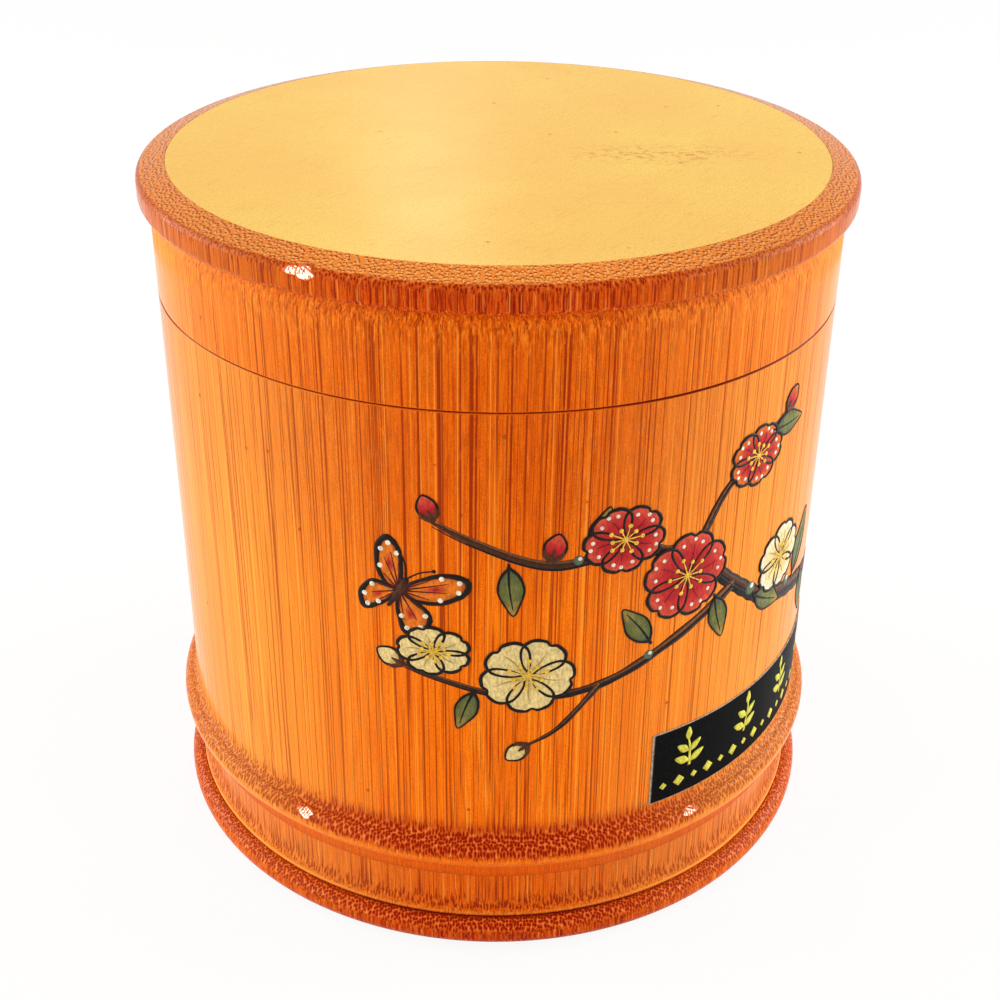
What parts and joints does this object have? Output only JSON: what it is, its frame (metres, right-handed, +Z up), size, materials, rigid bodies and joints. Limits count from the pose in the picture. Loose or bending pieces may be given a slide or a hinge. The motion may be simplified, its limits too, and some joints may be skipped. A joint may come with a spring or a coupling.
{
  "type": "tea canister",
  "caption": "Round lidded bamboo tea canister: a turned wall with moulded foot, an inner collar that guides the lift-off lid, let-in end panels and a paper label.",
  "frame": {"origin": "on the table, under the middle of the canister", "axes": "+Z up along the turned axis, -Y to the front, +X to the right seen from the front"},
  "size_m": [0.115, 0.115, 0.1165],
  "materials": {
    "lacquered_bamboo": "gloss lacquer",
    "inner_bamboo": "bare, smooth",
    "pale_wood": "satin lacquer",
    "black_paper": "satin print"
  },
  "bodies": {
    "base": {"body_shell": "lacquered_bamboo", "floor_panel": "pale_wood", "neck_collar": "inner_bamboo", "label": "black_paper"},
    "lid": {"lid_ring": "lacquered_bamboo", "lid_panel": "pale_wood"}
  },
  "joints": [
    {"name": "lid_lift", "type": "slide", "parent": "base", "child": "lid", "axis": [0, 0, 1], "range_m": [0, 0.1]}
  ]
}
